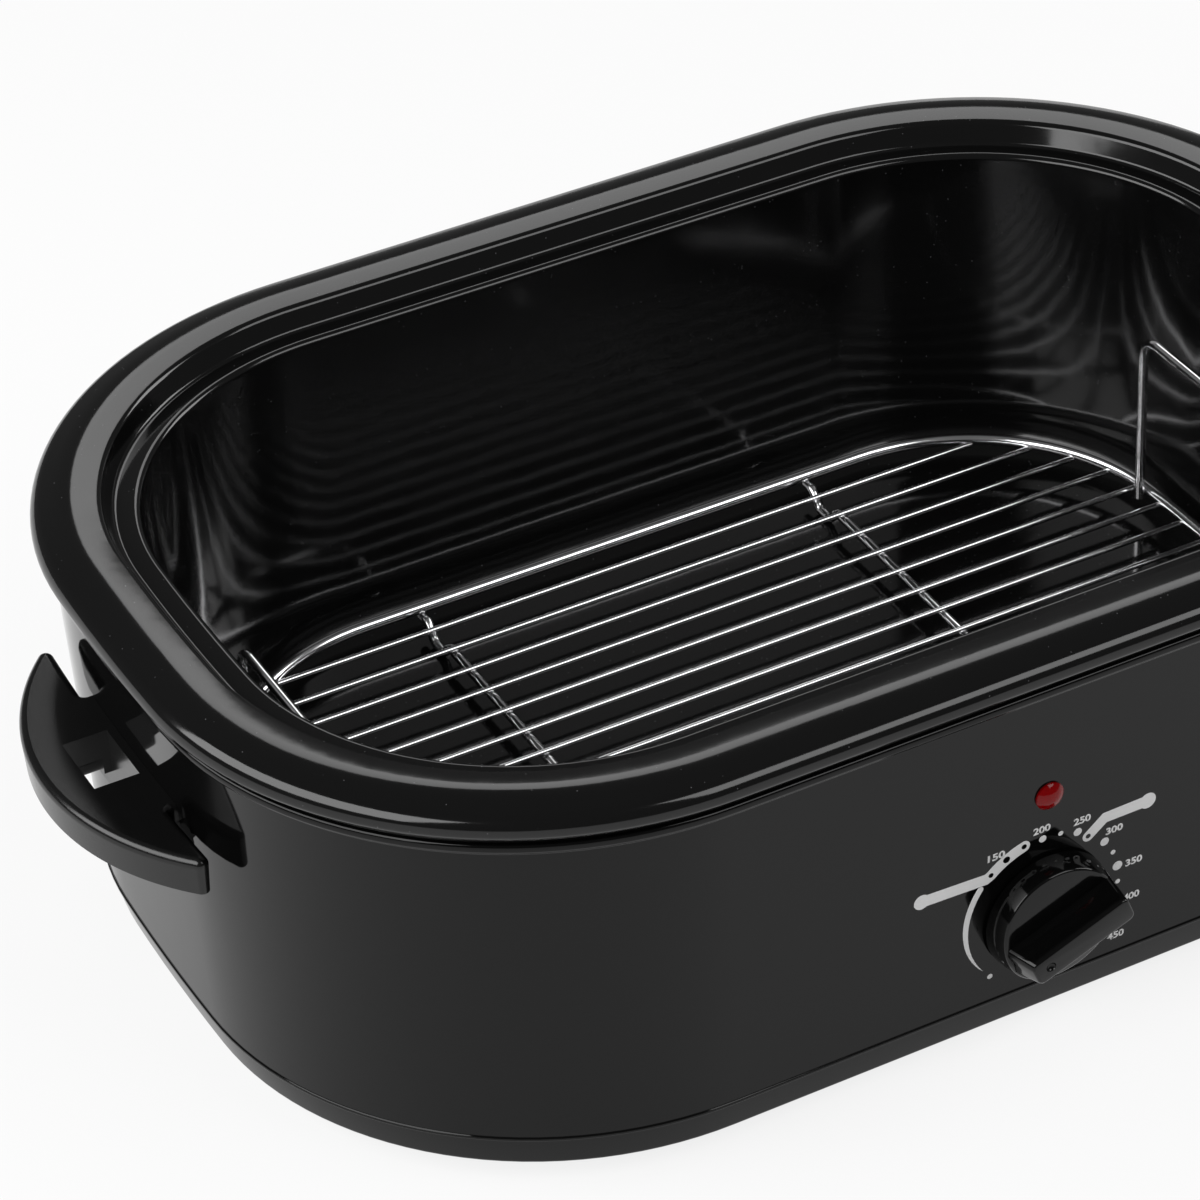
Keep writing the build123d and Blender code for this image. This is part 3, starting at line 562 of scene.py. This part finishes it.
def wear(made, shader, where, scale, low, high):
    """Roughness that wanders between two values over the surface."""
    noise = add_node(made, "ShaderNodeTexNoise", Scale=scale, Detail=4.0)
    span = add_node(made, "ShaderNodeMapRange")
    span.inputs["To Min"].default_value = low
    span.inputs["To Max"].default_value = high
    wire(made, where.outputs["Object"], noise.inputs["Vector"])
    wire(made, noise.outputs["Fac"], span.inputs["Value"])
    wire(made, span.outputs["Result"], shader.inputs["Roughness"])


def specks(made, shader, where, scale, size, base, pale):
    """Small pale specks scattered in a dark glaze."""
    cells = add_node(made, "ShaderNodeTexVoronoi", Scale=scale)
    span = add_node(made, "ShaderNodeMapRange")
    span.inputs["From Min"].default_value = size
    span.inputs["From Max"].default_value = size * 0.5
    pick = add_node(made, "ShaderNodeMix", data_type="RGBA")
    pick.inputs["A"].default_value = (*base, 1)
    pick.inputs["B"].default_value = (*pale, 1)
    rare = add_node(made, "ShaderNodeMath", operation="MULTIPLY")
    often = add_node(made, "ShaderNodeMath", operation="GREATER_THAN")
    often.inputs[1].default_value = speck_rarity
    wire(made, where.outputs["Object"], cells.inputs["Vector"])
    wire(made, cells.outputs["Distance"], span.inputs["Value"])
    wire(made, cells.outputs["Color"], often.inputs[0])
    wire(made, span.outputs["Result"], rare.inputs[0])
    wire(made, often.outputs[0], rare.inputs[1])
    wire(made, rare.outputs[0], pick.inputs["Factor"])
    wire(made, pick.outputs["Result"], shader.inputs["Base Color"])


# %% [markdown]
# ## The finishes
#
# Shell and base share a gloss stove enamel, and the cookwell has a speckled vitreous one. The
# knob is polished harder than the grips, so it has a phenolic of its own. The waves' depth is in
# metres: a few hundredths of a millimetre for enamel, and hardly any for a turned or plated part.

# %% Enamel, phenolic and the lens
stove_enamel, shader = finish("stove_enamel", (0.002, 0.002, 0.002), 0.05, IOR=1.3)
where = waves(stove_enamel, shader, 38, 0.00004)
wear(stove_enamel, shader, where, 20, 0.035, 0.075)

glaze, grain = (0.003, 0.003, 0.003), (0.1, 0.1, 0.104)
vitreous_enamel, shader = finish("vitreous_enamel", glaze, 0.08, IOR=1.45)
where = waves(vitreous_enamel, shader, 60, 0.00006)
wear(vitreous_enamel, shader, where, 30, 0.06, 0.14)
specks(vitreous_enamel, shader, where, 620, 0.17, glaze, grain)

black_phenolic, shader = finish("black_phenolic", (0.004, 0.004, 0.004), 0.2, IOR=1.45)
where = waves(black_phenolic, shader, 500, 0.00001)
wear(black_phenolic, shader, where, 60, 0.14, 0.26)

knob_phenolic, shader = finish("knob_phenolic", (0.002, 0.002, 0.002), 0.08, IOR=1.35)
where = waves(knob_phenolic, shader, 300, 0.00001)
wear(knob_phenolic, shader, where, 60, 0.05, 0.11)

ruby = (0.26, 0.0, 0.001)
ruby_lens, shader = finish("ruby_lens", ruby, 0.04, IOR=1.3, Transmission_Weight=0.3)
waves(ruby_lens, shader, 300, 0.00001)

for piece in (shell, base):
    coat(piece, stove_enamel)
coat(pan, vitreous_enamel)
coat(knob, knob_phenolic)
print("coated", [piece.name for piece in (shell, base, pan, knob)])

# %% [markdown]
# ## Metals and small parts
#
# Bare metals are fully metallic, and their wear matters more than their waves. Rubber, felt and
# nylon are matt, so waves alone are enough for them.

# %% Steel, zinc, wire, rubber, felt and nylon
mill_steel, shader = finish("mill_steel", (0.55, 0.55, 0.54), 0.35, metal=1.0)
where = waves(mill_steel, shader, 220, 0.00002)
wear(mill_steel, shader, where, 40, 0.28, 0.45)

zinc_plate, shader = finish("zinc_plate", (0.62, 0.62, 0.58), 0.3, metal=1.0)
where = waves(zinc_plate, shader, 600, 0.00001)
wear(zinc_plate, shader, where, 120, 0.22, 0.42)

bright_wire, shader = finish("bright_wire", (0.72, 0.72, 0.73), 0.14, metal=1.0)
where = waves(bright_wire, shader, 400, 0.00001)
wear(bright_wire, shader, where, 90, 0.1, 0.22)

foot_rubber, shader = finish("foot_rubber", (0.018, 0.018, 0.018), 0.8)
waves(foot_rubber, shader, 900, 0.00004)

glass_felt, shader = finish("glass_felt", (0.78, 0.75, 0.62), 0.95)
waves(glass_felt, shader, 260, 0.0006, detail=8.0)

gland_nylon, shader = finish("gland_nylon", (0.02, 0.02, 0.021), 0.45)
waves(gland_nylon, shader, 700, 0.00002)

lamp_plastic, shader = finish("lamp_plastic", (0.72, 0.7, 0.66), 0.5)
waves(lamp_plastic, shader, 500, 0.00002)

silver_ink, shader = finish("silver_ink", (0.66, 0.66, 0.66), 0.42)
where = waves(silver_ink, shader, 900, 0.000004)
wear(silver_ink, shader, where, 300, 0.36, 0.5)
print("the last finish is", silver_ink.name)

# %% [markdown]
# ## The print round the dial
#
# The scale is silver ink screened on the finished enamel: a dot for every 25 degrees, plain
# numbers, a band for each of two modes, and an arc that tapers towards the lowest setting. Ink is
# a film, so each mark is a flat outline on the leaning wall with hardly any thickness. The marks
# are laid out in the wall's own x and height, and a helper stands them on the wall.

# %% Places on the wall, dots and bands
dial_x, dial_z, dot_reach = 0.0120, 0.0600, 0.0326
ink_lift = 0.00004
cap_steps = 12


def on_wall(x, height, lift=ink_lift):
    """A place in space, from x and height on the shell's front wall."""
    return (x, shell_inset(height) - half_width - lift, height)


def on_dial(angle, reach=dot_reach):
    """A point of the wall, by its angle rightwards from straight up."""
    swing = math.radians(angle)
    return (dial_x + reach * math.sin(swing), dial_z + reach * math.cos(swing))


def dot(name, place, diameter, lift=ink_lift):
    """A flat disc on the wall."""
    bpy.ops.mesh.primitive_circle_add(
        vertices=40,
        radius=diameter / 2,
        fill_type="NGON",
        location=on_wall(*place, lift),
        rotation=(math.pi / 2 + wall_lean, 0, 0),
    )
    bpy.context.object.name = name
    return bpy.context.object


def half_round(middle, start):
    """Points on a half circle from a start about a middle, without its two ends."""
    turns = [Matrix.Rotation(math.pi * k / cap_steps, 2) for k in range(1, cap_steps)]
    return [middle + turned @ (start - middle) for turned in turns]


def band(name, line, half_widths):
    """A flat band along a line on the wall, with round ends."""
    line = [Vector(p) for p in line]
    ways = [(after - here).normalized() for here, after in zip(line, line[1:])]
    one_side, other_side = [], []
    for point, come, go, half in zip(line, ways[:1] + ways, ways + ways[-1:], half_widths):
        across = Vector(((come + go).y, -(come + go).x)).normalized() * half
        one_side.append(point + across)
        other_side.append(point - across)
    far_end = half_round(line[-1], one_side[-1])
    near_end = half_round(line[0], other_side[0])
    outline = one_side + far_end + other_side[::-1] + near_end
    made = draw_line(name, [on_wall(p.x, p.y) for p in outline])
    bpy.ops.mesh.edge_face_add()
    bpy.ops.object.mode_set(mode="OBJECT")
    return made


print("the scale's circle is centred at", (dial_x, dial_z))

# %% [markdown]
# ## Numbers, and the film itself
#
# A number is typed as a text object, made a mesh and fitted to its real size. All marks of one ink
# are then joined, the join's place is applied to its mesh, and Solidify makes a film of it.

# %% Numbers and the film
number_width, number_height, ink_spread = 0.0073, 0.0033, 0.034
film_depth = 0.00002


def number(text, place):
    """A number, made a mesh, fitted to its width and height, and stood on the wall."""
    bpy.ops.object.text_add(location=(0, 0, 0))
    made = bpy.context.object
    made.name = "number_" + text
    made.data.body = text
    made.data.align_x = made.data.align_y = "CENTER"
    made.data.offset = ink_spread
    made.data.resolution_u = 6
    bpy.ops.object.convert(target="MESH")
    made = bpy.context.object
    bpy.ops.object.origin_set(type="ORIGIN_GEOMETRY", center="BOUNDS")
    made.location = on_wall(*place)
    made.rotation_euler = (math.pi / 2 + wall_lean, 0, 0)
    made.scale = (number_width / made.dimensions.x, number_height / made.dimensions.y, 1)
    return made


def lay_film(name, marks, made):
    """Join marks into one object at the origin and give the film its thickness."""
    bpy.ops.object.select_all(action="DESELECT")
    for mark in marks:
        mark.select_set(True)
    bpy.context.view_layer.objects.active = marks[0]
    bpy.ops.object.join()
    film = bpy.context.object
    bpy.ops.object.transform_apply(location=True, rotation=True, scale=True)
    film.name = film.data.name = name
    apply_modifier(film, "SOLIDIFY", thickness=film_depth)
    coat(film, made)
    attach(film, "oven_body")
    print(name, "made of", len(marks), "marks,", len(film.data.polygons), "faces")


# %% [markdown]
# ## Laying out the marks
#
# The dots stand at even steps, and the larger ones are the settings that have a number. The first
# three dots lie on the first band, so there they are spots left bare, which show the enamel, and
# one more marks the start of the other band. They are a film as well, a hair above the ink.

# %% Print the scale, and leave the bare spots
first_dot, dot_step = -42.6, 13.6
inner_lift, end_lift, bare_lift = 0.0008, 1.6 * ink_lift, 2 * ink_lift
taper_start, taper_step, taper_last = -54, 4.7, 16
steps = [first_dot + dot_step * k for k in range(14)]
warm_arc = [on_dial(steps[0] + 3 * k, dot_reach + inner_lift) for k in range(10)]
warm_line = [(-0.0395, 0.0845), (-0.0125, 0.0835)] + warm_arc
frost_line = [on_dial(36.0, 0.0316), (0.0375, 0.0913), (0.0559, 0.0916)]
low_arc = [
    on_dial(taper_start - taper_step * k, 0.0334 - 0.00008 * k) for k in range(taper_last + 1)
]
low_widths = [0.0013 * (1 - (k / taper_last) ** 2.2) + 0.00004 for k in range(taper_last + 1)]
marks = [
    band("warm_band", warm_line, [0.0026] * len(warm_line)),
    dot("warm_end", warm_line[0], 0.0066, end_lift),
    band("frost_band", frost_line, [0.0024, 0.0026, 0.0026]),
    dot("frost_end", frost_line[-1], 0.0070, end_lift),
    band("low_taper", low_arc, low_widths),
    dot("lowest_dot", on_dial(-138.0), 0.0023),
]
tenths = {3: 31, 4: 21, 5: 35, 7: 37, 8: 21, 9: 42, 10: 21, 11: 42, 12: 21, 13: 42}
marks += [dot(f"dot_{k}", on_dial(steps[k]), size / 10000) for k, size in tenths.items()]
numbers = {
    "150": (-0.0085, 0.0926),
    "200": (0.0105, 0.0971),
    "250": (0.0277, 0.0944),
    "300": (0.0419, 0.0841),
    "350": (0.0512, 0.0652),
    "400": (0.0508, 0.0485),
    "450": (0.0448, 0.0320),
}
marks += [number(text, place) for text, place in numbers.items()]
lay_film("dial_scale", marks, silver_ink)
bare = [
    dot(f"bare_{k}", on_dial(steps[k], dot_reach + inner_lift), size, bare_lift)
    for k, size in {0: 0.0021, 1: 0.0029, 2: 0.0022}.items()
]
bare.append(dot("bare_frost", frost_line[0], 0.0021, bare_lift))
lay_film("dial_bare_spots", bare, stove_enamel)

# %% [markdown]
# ## The model's own pieces
#
# Pieces whose shape is already right keep their mesh and only get a finish. Each is matched by the
# slot that its maker gave it.

# %% Coat the remaining pieces by their slot
by_slot = {
    "gloss_black_steel": stove_enamel,
    "speckled_enamel": vitreous_enamel,
    "aluminised_steel": mill_steel,
    "zinc_steel": zinc_plate,
    "heater_foil": mill_steel,
    "glass_fibre": glass_felt,
    "black_phenolic": black_phenolic,
    "thermostat_case": lamp_plastic,
    "red_lens": ruby_lens,
    "lamp_capsule": lamp_plastic,
    "foot_rubber": foot_rubber,
    "gland_nylon": gland_nylon,
    "rack_wire": bright_wire,
}
for part in frame["record"]["subparts"]:
    for held in nodes[part["node"]].material_slots:
        held.material = by_slot[part["material_slot"]]

# %% [markdown]
# ## The floor
#
# The floor is white, and reads as white because most of what the eye and the gloss see of it
# glows; the rest is lit, and keeps the shadow. The Light Path node tells which rays look at it.

# %% White floor
glow_share = 0.84
bpy.ops.object.select_all(action="DESELECT")
bpy.ops.mesh.primitive_plane_add(size=16, location=(0, 0, 0))
floor = bpy.context.object
floor.name = "white_floor"
floor_paper, shader = finish("floor_paper", (0.86, 0.86, 0.86), 0.9)
path = add_node(floor_paper, "ShaderNodeLightPath")
seen = add_node(floor_paper, "ShaderNodeMath", operation="MAXIMUM")
through = add_node(floor_paper, "ShaderNodeMath", operation="MAXIMUM")
share = add_node(floor_paper, "ShaderNodeMath", operation="MULTIPLY")
share.inputs[1].default_value = glow_share
glow = add_node(floor_paper, "ShaderNodeEmission", Color=(1, 1, 1, 1), Strength=1.0)
both = add_node(floor_paper, "ShaderNodeMixShader")
surface = floor_paper.node_tree.nodes["Material Output"].inputs["Surface"]
for out, into in (
    (path.outputs["Is Camera Ray"], seen.inputs[0]),
    (path.outputs["Is Glossy Ray"], seen.inputs[1]),
    (seen.outputs[0], through.inputs[0]),
    (path.outputs["Is Transmission Ray"], through.inputs[1]),
    (through.outputs[0], share.inputs[0]),
    (share.outputs[0], both.inputs[0]),
    (shader.outputs[0], both.inputs[1]),
    (glow.outputs[0], both.inputs[2]),
    (both.outputs[0], surface),
):
    wire(floor_paper, out, into)
coat(floor, floor_paper)
print("floor glows by", glow_share)

# %% [markdown]
# ## Room and lamps
#
# Black enamel shows what it reflects. The flange is nearly black because the ceiling over it is
# dark, so no lamp hangs overhead. A wide soft box on the left draws the band along the shoulder,
# one high on the right in front draws the bright edges of rim and step, one beside the right end
# tips the knob and the lens, and a panel behind catches the ledge and the back rim.

# %% Dim room, soft boxes
room_light = 0.13
lamp_aim = Vector((0, 0, 0.1))
room = bpy.data.worlds.new("dim_room")
bpy.context.scene.world = room
room.use_nodes = True
ceiling = room.node_tree.nodes["Background"]
ceiling.inputs["Color"].default_value = (1, 1, 1, 1)
ceiling.inputs["Strength"].default_value = room_light


def soft_box(name, place, size, power):
    """A soft box that points from its place to the middle of the oven."""
    bpy.ops.object.light_add(type="AREA", location=place)
    box = bpy.context.object
    box.name = name
    box.data.shape = "RECTANGLE"
    box.data.size, box.data.size_y = size
    box.data.energy = power
    box.rotation_euler = (lamp_aim - Vector(place)).to_track_quat("-Z", "Y").to_euler()
    print(name, "with", power, "W")


soft_box("box_left", (-1.85, 0.05, 1.45), (2.7, 1.3), 58)
soft_box("box_front_right", (1.0, -1.69, 2.0), (1.5, 1.2), 22)
soft_box("box_right", (2.0, -0.1, 1.2), (0.9, 1.0), 17)
soft_box("panel_behind", (1.05, 2.0, 1.98), (1.3, 0.8), 8)

scene = bpy.context.scene
scene.view_settings.view_transform = "Standard"
